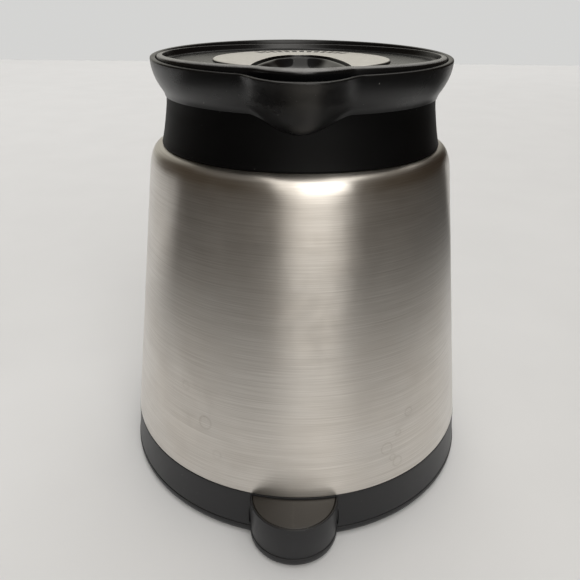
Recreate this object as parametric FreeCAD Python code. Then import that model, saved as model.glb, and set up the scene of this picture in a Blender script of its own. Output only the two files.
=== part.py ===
import FreeCAD, Part
import math
import os

from FreeCAD import Vector

# Thermal carafe: a double-walled steel jug with a plastic collar, a pouring lip, a push-button lid,
# a D-shaped handle and a plastic base with a locating lug.
# Frame: millimetres, +Z up the jug's axis, z = 0 on the table, lip and lug towards -Y, handle towards +Y.

# ---- driving dimensions -------------------------------------------------------------------------
# steel body
BODY_LOW_Z = 18.3          # visible lower edge of the steel
BODY_LOW_R = 67.83
BODY_HIGH_Z = 117.0        # top of the straight cone
BODY_HIGH_R = 54.31
SHELL_WALL = 0.8
FOOT_R = 66.0              # stepped-in skirt that stands inside the base ring
FOOT_Z = 7.0
NECK_R = 44.4              # outside of the steel neck
MOUTH_R = 42.0             # clear bore of the mouth
MOUTH_Z = 142.1            # top of the welded mouth
LINER_WALL = 0.6
VACUUM_GAP = 5.7
LINER_FLOOR_Z = 14.0

# base
RING_TOP_Z = 18.1
RING_TOP_R = 67.9
RING_LOW_Z = 4.5
RING_LOW_R = 69.3
COVER_TOP_Z = 4.2
COVER_LOW_Z = 0.6
FOOT_RING_R_IN = 44.6
FOOT_RING_R_OUT = 51.3
LUG_Y = -66.0
LUG_R = 15.3
LUG_TOP_Z = 17.6
LUG_CAP_R = 14.4
LUG_CAP_THICK = 1.2
LUG_WALL = 2.3
LUG_FLOOR_Z = 6.0
MAGNET_OFFSET = 7.4        # magnet's middle, in front of the lug's centre
MAGNET_THICK = 4.4
MAGNET_TOP_Z = 14.0
FOOT_SCREW_R = 58.0
FOOT_SCREW_ANGLES = (45, 135, 225, 315)
FOOT_SCREW_SINK = 1.8      # how deep the heads sit in the bottom cover
FOOT_SCREW_TIP_Z = 8.3

# collar
COLLAR_LOW_Z = 126.6
NECK_BAND_TOP_Z = 142.4
SKIRT_Z = 138.0            # lower end of the pour ring's skirt inside the neck band
SKIRT_R = 45.4
BOWL_TOP_Z = 157.5         # taller than needed, then cut to the sloping rim
RIM_MID_Z = 154.9
RIM_SLOPE = 0.028          # rise of the rim per mm towards the handle
SHELF_Z = 144.1            # seat for the lid inside the pour ring
LIP_REACH = 11.0           # how far the lip stands out past the round rim
LIP_HALF_WIDTH = 17.2
LIP_WALL = 1.7

# lid
LID_R = 48.87
LID_RIM_Z = 155.4
LID_RIM_SLOPE = -0.0085
LID_RIM_WIDTH = 2.1
LID_FLOOR_Z = 152.85
LID_BUMP = 7.4             # how far the lid follows the lip
LID_BUMP_HALF_WIDTH = 14.0
PLATE_R = 30.33
PLATE_TOP_Z = 153.64
BUTTON_TOP_Z = 152.9
BUTTON_TRAY_Z = 149.2      # floor of the sunk tray in the button's top
BUTTON_OUTLINE = ((0.0, 11.0), (3.6, 10.4), (6.6, 7.9), (9.2, 3.9), (11.2, -1.8), (12.9, -8.6),
                  (14.2, -15.4), (15.0, -22.0), (15.0, -28.5), (13.2, -33.0), (9.2, -35.2), (4.6, -35.9),
                  (0.0, -36.0))
BUTTON_MIDDLE_Y = -8.0     # the outline is grown and shrunk about this point
BUTTON_SKIRT_Z = 141.5
GUIDE_GAP = 0.08
PLUG_R = 41.3
PLUG_LOW_Z = 128.0
PLUG_FLOOR = 2.0
FLANGE_TOP_Z = 145.3       # top of the plug's flange, where the lid sits on it
GASKET_R = 41.96
PORT_R = 10.5
STEM_R = 2.5
STEM_TOP_Z = 148.3
STEM_GAP = 0.06
VALVE_R = 13.0
VALVE_LOW_Z = 124.6
VALVE_TOP_Z = 127.0
LID_SCREW_R = 35.5
LID_SCREW_ANGLES = (90, 210, 330)

# valve spring
SPRING_COIL_R = 6.0
SPRING_WIRE_R = 0.55
SPRING_LOW_Z = 130.02
SPRING_HIGH_Z = 147.4
SPRING_TURNS = 6

# handle
HANDLE_WIDTH = 22.0
HANDLE_DEPTH = 13.0
GRIP_WIDTH = 15.0
TONGUE_HALF = 7.0
TONGUE_THICK = 3.5
TOP_TONGUE = (46.2, 61.0, 131.0)    # inner end, outer end and underside
LOW_TONGUE = (66.5, 83.0, 5.0)
HANDLE_SCREW_BITE = 7.0    # length of screw in the handle
HANDLE_SCREWS = ((55.0, TOP_TONGUE[2]), (76.5, LOW_TONGUE[2]))   # distance from the axis, head height

# screws
SMALL_SHAFT_R = 1.4
HANDLE_SHAFT_R = 1.6
STEM_SHAFT_R = 1.25
STEM_SCREW_TIP_Z = 134.2
LID_SCREW_HEAD_Z = 141.3
LID_SCREW_TIP_Z = 150.2

AXIS = Vector(0, 0, 1)
ORIGIN = Vector(0, 0, 0)
BIG = 400.0                # longer than anything here, for cutting tools


# ---- small helpers ------------------------------------------------------------------------------
def flat(r, z):
    return Vector(r, 0, z)


def turned(steps):
    """Solid of revolution. A tuple (r, z) is a corner, a list of tuples is a smooth run."""
    edges = []
    first = None
    last = None
    for step in steps:
        run = step if isinstance(step, list) else [step]
        points = [flat(r, z) for r, z in run]
        if last is not None and last.distanceToPoint(points[0]) > 1e-6:
            edges.append(Part.LineSegment(last, points[0]).toShape())
        if len(points) > 1:
            curve = Part.BSplineCurve()
            curve.interpolate(points)
            edges.append(curve.toShape())
        if first is None:
            first = points[0]
        last = points[-1]
    if last.distanceToPoint(first) > 1e-6:
        edges.append(Part.LineSegment(last, first).toShape())
    face = Part.Face(Part.Wire(edges))
    solid = face.revolve(ORIGIN, AXIS, 360)
    if solid.Volume < 0:
        solid.reverse()
    return solid


def tube(r_in, r_out, low, high):
    outer = Part.makeCylinder(r_out, high - low, Vector(0, 0, low))
    return outer.cut(Part.makeCylinder(r_in, high - low + 2, Vector(0, 0, low - 1)))


def rod(r, low, high, x=0.0, y=0.0):
    return Part.makeCylinder(r, high - low, Vector(x, y, low))


def box(x0, x1, y0, y1, z0, z1):
    return Part.makeBox(x1 - x0, y1 - y0, z1 - z0, Vector(x0, y0, z0))


def polar(radius, angle):
    turn = math.radians(angle)
    return radius * math.cos(turn), radius * math.sin(turn)


def above_slope(middle_z, slope):
    """Everything above the plane z = middle_z + slope * y."""
    half = BIG / 2
    corners = [(-half, middle_z - slope * half), (half, middle_z + slope * half), (half, BIG), (-half, BIG)]
    points = [Vector(-half, y, z) for y, z in corners]
    face = Part.Face(Part.makePolygon(points + points[:1]))
    return face.extrude(Vector(BIG, 0, 0))


def cone_r(z):
    share = (z - BODY_LOW_Z) / (BODY_HIGH_Z - BODY_LOW_Z)
    return BODY_LOW_R + share * (BODY_HIGH_R - BODY_LOW_R)


# ---- steel body ---------------------------------------------------------------------------------
def shoulder():
    """Outside of the rounded shoulder, from the cone in to the neck."""
    return [(BODY_HIGH_R, BODY_HIGH_Z), (53.93, 119.5), (53.40, 122.0), (52.60, 124.0),
            (51.70, 125.2), (50.50, 126.0), (49.20, 126.35)]


def inner_shoulder():
    """Inside of the shoulder, one wall thickness in."""
    return [(NECK_R - SHELL_WALL + 2.6, 126.05), (49.00, 125.55), (50.10, 125.25), (51.10, 124.65),
            (51.90, 123.65), (52.65, 121.8), (53.13, 119.4), (BODY_HIGH_R - SHELL_WALL, BODY_HIGH_Z)]


def outer_shell():
    neck_in = NECK_R - SHELL_WALL
    step_in = FOOT_R - SHELL_WALL
    return turned([
        (FOOT_R, FOOT_Z), (FOOT_R, BODY_LOW_Z), (BODY_LOW_R, BODY_LOW_Z),
        shoulder(),
        (46.0, 126.7), (NECK_R, 128.2), (NECK_R, MOUTH_Z - 0.7),
        (neck_in, MOUTH_Z - 0.7), (neck_in, 127.9),
        inner_shoulder(),
        (BODY_LOW_R - SHELL_WALL - 0.1, BODY_LOW_Z + SHELL_WALL), (step_in, BODY_LOW_Z + SHELL_WALL),
        (step_in, FOOT_Z)])


def liner_outside():
    """Outside of the liner from the neck down to the floor's middle."""
    gap = SHELL_WALL + VACUUM_GAP
    return [
        [(MOUTH_R + LINER_WALL, 128.0), (43.3, 124.6), (45.4, 121.4), (47.3, 117.5),
         (cone_r(112.0) - gap, 112.0)],
        [(cone_r(24.0) - gap, 24.0), (60.2, 19.0), (58.2, 15.8), (55.0, 14.3), (52.0, LINER_FLOOR_Z)],
        (0.0, LINER_FLOOR_Z)]


def liner_inside():
    gap = SHELL_WALL + VACUUM_GAP + LINER_WALL
    return [
        (0.0, LINER_FLOOR_Z + LINER_WALL),
        [(51.9, LINER_FLOOR_Z + LINER_WALL), (54.7, 14.9), (57.7, 16.3), (59.6, 19.3),
         (cone_r(24.0) - gap, 24.2)],
        [(cone_r(112.0) - gap, 111.9), (46.7, 117.2), (44.85, 121.1), (42.75, 124.3), (MOUTH_R, 128.0)]]


def inner_liner():
    lip_z = MOUTH_Z - 0.7
    return turned(
        [(NECK_R, MOUTH_Z), (NECK_R, lip_z), (MOUTH_R + LINER_WALL, lip_z)]
        + liner_outside() + liner_inside() + [(MOUTH_R, MOUTH_Z)])


def radiation_foil():
    low, high = 26.0, 110.0
    gap = SHELL_WALL + VACUUM_GAP - 0.4
    thick = 0.2
    return turned([
        (cone_r(low) - gap, low), (cone_r(low) - gap + thick, low),
        (cone_r(high) - gap + thick, high), (cone_r(high) - gap, high)])


def shell_bottom():
    rim = FOOT_R - SHELL_WALL
    plate = turned([
        (rim, FOOT_Z), (rim, 10.0), (9.0, 10.0), (7.5, 9.4), (0.0, 9.4),
        (0.0, 8.6), (7.8, 8.6), (9.3, 9.2), (rim - SHELL_WALL, 9.2), (rim - SHELL_WALL, FOOT_Z)])
    return plate.cut(rod(0.8, 8.0, 11.0))


def vacuum_seal():
    """Brazed bead that closes the evacuation hole."""
    bead = turned([(0.0, 8.6), (2.4, 8.6), (1.9, 7.9), (0.9, 7.6), (0.0, 7.55)])
    return bead.fuse(rod(0.8, 8.6, 9.4)).removeSplitter()


def getter():
    return turned([(0.0, 10.0), (4.5, 10.0), (4.5, 11.6), (4.1, 12.0), (0.0, 12.0)]).translated(
        Vector(28, 0, 0))


# ---- base ---------------------------------------------------------------------------------------
def lug_column(radius, low, high):
    return rod(radius, low, high, 0.0, LUG_Y)


def screw_spots():
    return [polar(FOOT_SCREW_R, angle) for angle in FOOT_SCREW_ANGLES]


def base_ring():
    ring = turned([
        [(RING_TOP_R, RING_TOP_Z), (68.25, 14.0), (68.75, 9.0), (RING_LOW_R, RING_LOW_Z)],
        (60.0, RING_LOW_Z), (60.0, FOOT_Z - 0.1), (FOOT_R + 0.05, FOOT_Z - 0.1),
        (FOOT_R + 0.05, RING_TOP_Z)])
    lug = lug_column(LUG_R, RING_LOW_Z, LUG_TOP_Z).cut(rod(FOOT_R + 1, RING_LOW_Z - 1, BODY_LOW_Z))
    ring = ring.fuse(lug)
    for x, y in screw_spots():
        ring = ring.fuse(rod(3.4, RING_LOW_Z, 9.0, x, y))
    ring = ring.fuse(tongue(*LOW_TONGUE))
    # hollow of the lug, the recess for its cap and the relief lines beside it
    wall = rod(68.3, 0, BIG)
    hollow = lug_column(LUG_R - LUG_WALL, LUG_FLOOR_Z, LUG_TOP_Z).cut(wall)
    ring = ring.cut(hollow)
    cap_seat = lug_column(LUG_CAP_R + 0.15, LUG_TOP_Z - LUG_CAP_THICK, BODY_LOW_Z + 1)
    ring = ring.cut(cap_seat.cut(rod(RING_TOP_R + 0.05, 0, BIG)))
    for side in (-1, 1):
        x = side * (LUG_R + 0.1)
        y = -math.sqrt(68.6 ** 2 - x ** 2)
        ring = ring.cut(rod(0.45, RING_LOW_Z - 1, RING_TOP_Z + 1, x, y))
    for x, y in screw_spots():
        ring = ring.cut(rod(SMALL_SHAFT_R, RING_LOW_Z - 1, FOOT_SCREW_TIP_Z + 0.1, x, y))
    ring = ring.cut(rod(HANDLE_SHAFT_R, 0, 12, 0, HANDLE_SCREWS[1][0]))
    return ring.removeSplitter()


def lug_cap():
    """Flat half-round cap set into the top of the lug."""
    disc = lug_column(LUG_CAP_R, LUG_TOP_Z - LUG_CAP_THICK, LUG_TOP_Z - 0.1)
    disc = disc.cut(rod(RING_TOP_R + 0.15, 0, BIG))
    rib_y = LUG_Y - MAGNET_OFFSET
    rib = box(-4.0, 4.0, rib_y - 0.6, rib_y + 0.6, MAGNET_TOP_Z, LUG_TOP_Z - LUG_CAP_THICK)
    return disc.fuse(rib).removeSplitter()


def lug_magnet():
    middle = LUG_Y - MAGNET_OFFSET
    half_thick = MAGNET_THICK / 2
    return box(-6.0, 6.0, middle - half_thick, middle + half_thick, LUG_FLOOR_Z, MAGNET_TOP_Z)


def foot_cover():
    """Bottom plate. Its edge shows as the low band under the base ring."""
    plate = turned([
        (RING_LOW_R + 0.25, COVER_TOP_Z), [(RING_LOW_R + 0.25, 2.6), (68.9, 1.2), (67.6, COVER_LOW_Z)],
        (0.0, COVER_LOW_Z), (0.0, 2.6), (66.2, 2.6), (66.2, COVER_TOP_Z)])
    lug = lug_column(LUG_R + 0.25, COVER_LOW_Z + 1.0, COVER_TOP_Z)
    toe = Part.makeCone(LUG_R - 0.9, LUG_R + 0.25, 1.0, Vector(0, LUG_Y, COVER_LOW_Z))
    lug = lug.fuse(toe)
    lug = lug.cut(lug_column(LUG_R - LUG_WALL, 2.6, COVER_TOP_Z + 1))
    plate = plate.cut(box(-11.0, 11.0, -72.0, -62.0, 2.6, COVER_TOP_Z + 1)).fuse(lug)
    plate = plate.cut(lug_column(LUG_R - LUG_WALL, 2.6, COVER_TOP_Z + 1))
    for x, y in screw_spots():
        plate = plate.fuse(rod(3.4, COVER_LOW_Z, RING_LOW_Z, x, y))
        plate = plate.cut(rod(2.8, 0, COVER_LOW_Z + FOOT_SCREW_SINK, x, y))
        plate = plate.cut(rod(SMALL_SHAFT_R, 0, RING_LOW_Z + 1, x, y))
    groove = tube(FOOT_RING_R_IN - 0.1, FOOT_RING_R_OUT + 0.1, 0.0, 1.5)
    return plate.cut(groove).removeSplitter()


def foot_ring():
    """Rubber ring that the jug stands on."""
    return turned([
        (FOOT_RING_R_IN, 1.5), (FOOT_RING_R_IN, 0.3), (FOOT_RING_R_IN + 0.3, 0.0),
        (FOOT_RING_R_OUT - 0.3, 0.0), (FOOT_RING_R_OUT, 0.3), (FOOT_RING_R_OUT, 1.5)])


def screw(x, y, head_z, head_r, head_high, shaft_r, tip_z):
    """Screw pointing up: its head is below head_z and its tip is at tip_z."""
    low = head_z - head_high
    head = rod(head_r, low + 0.3, head_z, x, y)
    head = head.fuse(Part.makeCone(head_r - 0.3, head_r, 0.3, Vector(x, y, low)))
    body = head.fuse(rod(shaft_r, head_z - 0.1, tip_z - 0.8, x, y))
    body = body.fuse(Part.makeCone(shaft_r, 0.4, 0.8, Vector(x, y, tip_z - 0.8)))
    reach = head_r * 0.62
    deep = head_high * 0.55
    slot = box(x - reach, x + reach, y - 0.3, y + 0.3, low - 1, low + deep)
    slot = slot.fuse(box(x - 0.3, x + 0.3, y - reach, y + reach, low - 1, low + deep))
    return body.cut(slot).removeSplitter()


def base_screws():
    return Part.makeCompound([
        screw(x, y, COVER_LOW_Z + FOOT_SCREW_SINK, 2.6, 1.5, SMALL_SHAFT_R, FOOT_SCREW_TIP_Z)
        for x, y in screw_spots()])


# ---- collar -------------------------------------------------------------------------------------
def flare():
    """Outside of the flaring pour ring."""
    return [(46.55, 142.5), (47.34, 144.0), (48.95, 146.5), (50.20, 149.5), (50.85, 152.5),
            (51.02, BOWL_TOP_Z)]


def neck_outside(extra=0.0):
    """Outside of the waisted neck band, from its top down."""
    points = [(46.55, NECK_BAND_TOP_Z), (46.75, 139.5), (47.29, 136.0), (48.00, 132.0), (48.65, 129.0),
              (49.25, COLLAR_LOW_Z)]
    return [(r + extra, z) for r, z in points]


def neck_filled(extra):
    """The neck band without its hole, used to trim what is fitted against it."""
    return turned([(0.0, NECK_BAND_TOP_Z + extra), neck_outside(extra), (0.0, COLLAR_LOW_Z)])


def neck_band():
    band = turned([
        neck_outside(),
        (47.5, COLLAR_LOW_Z + 0.2), (46.0, COLLAR_LOW_Z + 0.75), (NECK_R + 0.05, 129.0),
        (NECK_R + 0.05, SKIRT_Z), (SKIRT_R + 0.02, SKIRT_Z), (SKIRT_R + 0.02, NECK_BAND_TOP_Z)])
    bracket = tongue(*TOP_TONGUE)
    bracket = bracket.cut(rod(NECK_R + 1.4, 0, BIG))
    band = band.fuse(bracket).cut(rod(HANDLE_SHAFT_R, 0, BIG, 0, HANDLE_SCREWS[0][0]))
    return band.removeSplitter()


def lip_curve(base_r, reach, half_width, z):
    """Plan view of the lip at one level, as a closed wire reaching back into the ring."""
    back_y = -38.0
    count = 16
    points = []
    for step in range(-count, count + 1):
        x = half_width * step / count
        share = abs(step / count)
        bump = (1 - share ** 2.4) ** 2
        y = -math.sqrt(base_r ** 2 - x ** 2) - reach * bump
        points.append(Vector(x, y, z))
    curve = Part.BSplineCurve()
    curve.interpolate(points)
    left = Vector(-half_width, back_y, z)
    right = Vector(half_width, back_y, z)
    return Part.Wire([
        curve.toShape(),
        Part.LineSegment(points[-1], right).toShape(),
        Part.LineSegment(right, left).toShape(),
        Part.LineSegment(left, points[0]).toShape()])


def lip_solid(levels):
    wires = [lip_curve(base_r, reach, half_width, z) for base_r, reach, half_width, z in levels]
    return Part.makeLoft(wires, True, False)


def lip_outer():
    w = LIP_HALF_WIDTH
    return lip_solid([
        (46.2, 1.2, 8.5, 137.2), (46.1, 2.4, 11.0, 139.0), (46.0, 3.9, 13.8, 141.2),
        (46.4, 5.1, 15.8, 143.4), (48.2, 6.0, 16.8, 146.3), (49.7, 7.8, w, 149.5),
        (50.5, 9.6, w, 152.5), (50.9, LIP_REACH + 0.4, w + 0.2, BOWL_TOP_Z)])


def lip_inner():
    w = LIP_HALF_WIDTH - LIP_WALL + 0.2
    return lip_solid([
        (44.3, 4.3, 9.5, 144.6), (46.3, 5.4, 13.0, 146.9), (48.0, 7.2, 14.8, 149.8),
        (48.9, 9.1, w, 152.8), (49.2, LIP_REACH + 0.4, w + 0.2, BOWL_TOP_Z)])


def pour_ring():
    bowl = [(49.12, BOWL_TOP_Z), (49.10, 152.5), (48.50, 149.5), (47.20, 146.7), (45.90, 144.7)]
    ring = turned([
        (NECK_R + 0.05, SKIRT_Z + 0.1), (SKIRT_R, SKIRT_Z + 0.1), (SKIRT_R, 142.5),
        flare(), bowl,
        (45.3, SHELF_Z), (MOUTH_R + 0.4, SHELF_Z), (MOUTH_R + 0.4, SHELF_Z - 1.0),
        (NECK_R + 0.05, SHELF_Z - 1.0)])
    ring_hole = turned([
        (0.0, SHELF_Z), (45.3, SHELF_Z), list(reversed(bowl)), (0.0, BOWL_TOP_Z)])
    lip = lip_outer().cut(ring_hole).cut(rod(SKIRT_R + 0.3, 130, SHELF_Z))
    lip = lip.cut(neck_filled(0.03))
    ring = ring.fuse(lip).cut(lip_inner())
    ring = ring.cut(above_slope(RIM_MID_Z, RIM_SLOPE))
    return ring.removeSplitter()


def mouth_gasket():
    low = MOUTH_Z
    high = SHELF_Z - 1.0
    return turned([
        (42.3, low), (44.2, low), (44.3, low + 0.5), (44.2, high), (42.3, high), (42.2, low + 0.5)])


# ---- handle -------------------------------------------------------------------------------------
def tongue(y0, y1, low):
    """Flat bracket the handle is screwed to."""
    end = y1 - TONGUE_HALF
    flat_part = box(-TONGUE_HALF, TONGUE_HALF, y0, end, low, low + TONGUE_THICK)
    return flat_part.fuse(rod(TONGUE_HALF, low, low + TONGUE_THICK, 0, end)).removeSplitter()


def handle_path(points):
    curve = Part.BSplineCurve()
    curve.interpolate([Vector(0, y, z) for y, z in points])
    return curve


def rounded_section(curve, width, depth, corner, offset=0.0):
    """Rounded rectangle square to the start of the path, in the path's plane frame."""
    start = curve.value(curve.FirstParameter)
    along = curve.tangent(curve.FirstParameter)[0]
    along.normalize()
    across = Vector(1, 0, 0)
    up = along.cross(across)
    half_w = width / 2
    half_d = depth / 2
    corners = []
    for sx, sy in ((1, 1), (-1, 1), (-1, -1), (1, -1)):
        corners.append((sx * half_w, sy * half_d, sx, sy))
    points = []
    for px, py, sx, sy in corners:
        arc_mid = (px - sx * corner * (1 - math.sqrt(0.5)), py - sy * corner * (1 - math.sqrt(0.5)))
        ends = [(px, py - sy * corner), (px - sx * corner, py)]
        if sx != sy:
            ends.reverse()
        points.append((ends[0], arc_mid, ends[1]))

    def place(uv):
        return start + across * uv[0] + up * (uv[1] + offset)

    edges = []
    for index, (begin, middle, end) in enumerate(points):
        edges.append(Part.Arc(place(begin), place(middle), place(end)).toShape())
        following = points[(index + 1) % 4][0]
        edges.append(Part.LineSegment(place(end), place(following)).toShape())
    return Part.Wire(edges)


def swept(curve, wire):
    """Sweep a section along a curve in the YZ plane without letting it twist."""
    pipe = Part.BRepOffsetAPI.MakePipeShell(Part.Wire([curve.toShape()]))
    pipe.setBiNormalMode(Vector(1, 0, 0))
    pipe.add(wire)
    pipe.build()
    pipe.makeSolid()
    solid = pipe.shape()
    if solid.Volume < 0:
        solid.reverse()
    return solid


def handle_line():
    return handle_path([
        (44.0, 140.6), (58.0, 141.0), (74.0, 142.0), (90.0, 139.5), (101.0, 129.0), (105.5, 112.0),
        (106.0, 90.0), (104.0, 64.0), (99.5, 42.0), (92.0, 25.0), (80.0, 16.6), (64.0, 14.9)])


def body_keepout():
    """The jug's outside with a hair of clearance, for trimming the handle's ends."""
    return turned([
        (0.0, 4.0), (RING_LOW_R + 0.15, 4.0), (68.9, 9.0), (68.4, 14.0), (68.05, RING_TOP_Z + 0.1),
        (BODY_HIGH_R + 0.2, BODY_HIGH_Z), (53.9, 121.5), (52.4, 125.1), (49.5, 126.7),
        (48.85, 129.0), (48.15, 132.0), (47.45, 136.0), (46.95, 139.5), (46.85, 142.3),
        (47.75, 144.0), (49.25, 146.5), (50.45, 149.5), (51.2, 152.5), (51.2, BOWL_TOP_Z),
        (0.0, BOWL_TOP_Z)])


def tongue_room(y0, y1, low):
    """Space in the handle for a bracket, open towards the jug."""
    end = y1 - TONGUE_HALF
    wide = TONGUE_HALF + 0.1
    high = low + TONGUE_THICK
    room = box(-wide, wide, y0 - 5, end, low - 6, high)
    return room.fuse(rod(wide, low - 6, high, 0, end))


def grip_channel():
    curve = handle_path([
        (95.0, 135.9), (101.0, 129.0), (105.5, 112.0), (106.0, 90.0), (104.0, 64.0), (99.5, 42.0),
        (93.6, 27.6)])
    outside = rounded_section(curve, GRIP_WIDTH, 3.0, 1.2, 0.9 - HANDLE_DEPTH / 2)
    return swept(curve, outside)


def handle_frame():
    curve = handle_line()
    frame = swept(curve, rounded_section(curve, HANDLE_WIDTH, HANDLE_DEPTH, 4.5))
    frame = frame.cut(body_keepout())
    frame = frame.cut(tongue_room(*TOP_TONGUE))
    frame = frame.cut(tongue_room(*LOW_TONGUE))
    frame = frame.cut(grip_channel())
    for y, low in HANDLE_SCREWS:
        top = low + TONGUE_THICK
        frame = frame.cut(rod(HANDLE_SHAFT_R, top - 1, top + HANDLE_SCREW_BITE, 0, y))
    return frame.removeSplitter()


def handle_grip():
    return grip_channel()


def handle_screws():
    screws = []
    for y, low in HANDLE_SCREWS:
        tip = low + TONGUE_THICK + HANDLE_SCREW_BITE
        screws.append(screw(0, y, low, 3.0, 1.8, HANDLE_SHAFT_R, tip))
    return Part.makeCompound(screws)


# ---- lid ----------------------------------------------------------------------------------------
def lid_bump(grow):
    """The part of the lid that follows the pouring lip."""
    w = LID_BUMP_HALF_WIDTH
    return lip_solid([
        (44.0 + grow, 3.2, w - 4.8, 146.9), (47.0 + grow, 5.2, w - 2.4, 149.8),
        (48.3 + grow, 6.6, w - 0.6, 152.6), (LID_R + grow, LID_BUMP, w, LID_RIM_Z + 1.5)])


def button_wire(grow, z):
    """The button's long rounded outline at one height, grown outwards by a margin."""
    half = []
    for x, y in BUTTON_OUTLINE:
        reach = math.hypot(x, y - BUTTON_MIDDLE_Y)
        share = (reach + grow) / reach
        half.append((x * share, BUTTON_MIDDLE_Y + (y - BUTTON_MIDDLE_Y) * share))
    mirrored = [(-x, y) for x, y in reversed(half[1:-1])]
    curve = Part.BSplineCurve()
    curve.interpolate([Vector(x, y, z) for x, y in half + mirrored], True)
    return Part.Wire([curve.toShape()])


def button_column(grow, low, high):
    """Upright column with the button's outline."""
    return Part.Face(button_wire(grow, low)).extrude(Vector(0, 0, high - low))


def button_taper(low_grow, low, high_grow, high):
    """Solid with the button's outline and sloping sides."""
    return Part.makeLoft([button_wire(low_grow, low), button_wire(high_grow, high)], True, True)


def lid_shell():
    wall_out = [
        (LID_R, LID_RIM_Z + 1.5), (48.80, 152.5), (48.10, 149.5), (46.80, 146.8), (45.40, FLANGE_TOP_Z)]
    rim_in = LID_R - LID_RIM_WIDTH
    under = LID_FLOOR_Z - 1.8
    seat = PLATE_TOP_Z - 1.0
    solid = turned([
        wall_out, (43.8, FLANGE_TOP_Z), (45.2, 147.2), (46.2, 149.6), (46.4, under),
        (0.0, under), (0.0, seat - 0.02), (PLATE_R + 0.12, seat - 0.02), (PLATE_R + 0.12, LID_FLOOR_Z),
        (rim_in - 0.5, LID_FLOOR_Z), (rim_in, LID_FLOOR_Z + 0.5), (rim_in, LID_RIM_Z + 1.5)])
    filled = turned([wall_out, (0.0, FLANGE_TOP_Z), (0.0, LID_RIM_Z + 1.5)])
    bump = lid_bump(0.0).cut(filled)
    inside_bump = lid_bump(-LID_RIM_WIDTH)
    hollow = inside_bump.cut(box(-BIG, BIG, -BIG, BIG, under, LID_FLOOR_Z))
    core = rod(rim_in - 0.3, FLANGE_TOP_Z, BIG).cut(rod(rim_in - 6.0, 145.0, BIG))
    solid = solid.fuse(bump).cut(hollow.cut(core))
    solid = solid.fuse(button_column(1.7, 145.6, under + 0.2))
    solid = solid.cut(button_column(GUIDE_GAP, 145.0, LID_FLOOR_Z + 1.0))
    for angle in LID_SCREW_ANGLES:
        x, y = polar(LID_SCREW_R, angle)
        solid = solid.fuse(rod(3.2, FLANGE_TOP_Z, under + 0.2, x, y))
    solid = solid.cut(above_slope(LID_RIM_Z, LID_RIM_SLOPE))
    # window the drink leaves by, towards the lip
    solid = solid.cut(box(-8.0, 8.0, -62.0, -40.0, 147.0, under - 0.2))
    for angle in LID_SCREW_ANGLES:
        x, y = polar(LID_SCREW_R, angle)
        solid = solid.cut(rod(SMALL_SHAFT_R, 145.0, LID_SCREW_TIP_Z + 0.2, x, y))
    return solid.removeSplitter()


def lid_plate():
    """Bright disc. The button's opening runs out through its front edge."""
    top = PLATE_TOP_Z
    low = top - 1.0
    disc = turned([
        (PLATE_R, low), (PLATE_R, top - 0.4), [(PLATE_R, top - 0.4), (30.22, top - 0.16), (29.85, top)],
        (0.0, top), (0.0, low)])
    return disc.cut(button_column(0.35, low - 1.0, top + 1.0))


def stopper_body():
    inner = PLUG_R - 2.4
    floor_z = PLUG_LOW_Z + PLUG_FLOOR
    plug = turned([
        (45.2, SHELF_Z), (45.2, FLANGE_TOP_Z), (inner, FLANGE_TOP_Z), (inner, floor_z + 1.2),
        (inner - 1.2, floor_z), (PORT_R, floor_z), (PORT_R, PLUG_LOW_Z), (PLUG_R - 1.0, PLUG_LOW_Z),
        (PLUG_R, PLUG_LOW_Z + 1.0), (PLUG_R, 134.0), (40.3, 134.0), (40.3, 138.0), (PLUG_R, 138.0),
        (PLUG_R, SHELF_Z)])
    for turn in (30, 150, 270):
        arm = box(3.0, PORT_R + 0.5, -0.9, 0.9, PLUG_LOW_Z + 0.3, floor_z)
        arm.rotate(ORIGIN, AXIS, turn)
        plug = plug.fuse(arm)
    plug = plug.fuse(tube(3.5, 7.3, PLUG_LOW_Z + 0.9, floor_z))
    plug = plug.fuse(rod(4.4, PLUG_LOW_Z + 0.3, 132.0))
    for angle in LID_SCREW_ANGLES:
        x, y = polar(LID_SCREW_R, angle)
        boss = rod(3.6, LID_SCREW_HEAD_Z, FLANGE_TOP_Z, x, y)
        web_x, web_y = polar(LID_SCREW_R + 3.0, angle)
        boss = boss.fuse(rod(3.0, LID_SCREW_HEAD_Z, FLANGE_TOP_Z, web_x, web_y))
        plug = plug.fuse(boss.cut(tube(PLUG_R, 60.0, 140.0, 147.0)))
    for angle in LID_SCREW_ANGLES:
        x, y = polar(LID_SCREW_R, angle)
        plug = plug.cut(rod(SMALL_SHAFT_R, 140.0, 147.0, x, y))
    plug = plug.cut(rod(STEM_R + STEM_GAP, 120.0, 140.0))
    return plug.removeSplitter()


def stopper_gasket():
    lip = GASKET_R
    return turned([
        (40.3, 134.0), (41.3, 134.0), (41.45, 134.5), (lip, 135.0), (lip, 135.3), (41.45, 135.7),
        (41.45, 136.3), (lip, 136.7), (lip, 137.0), (41.45, 137.5), (41.3, 138.0), (40.3, 138.0)])


def lid_screws():
    screws = []
    for angle in LID_SCREW_ANGLES:
        x, y = polar(LID_SCREW_R, angle)
        screws.append(screw(x, y, LID_SCREW_HEAD_Z, 2.7, 1.6, SMALL_SHAFT_R, LID_SCREW_TIP_Z))
    return Part.makeCompound(screws)


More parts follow.
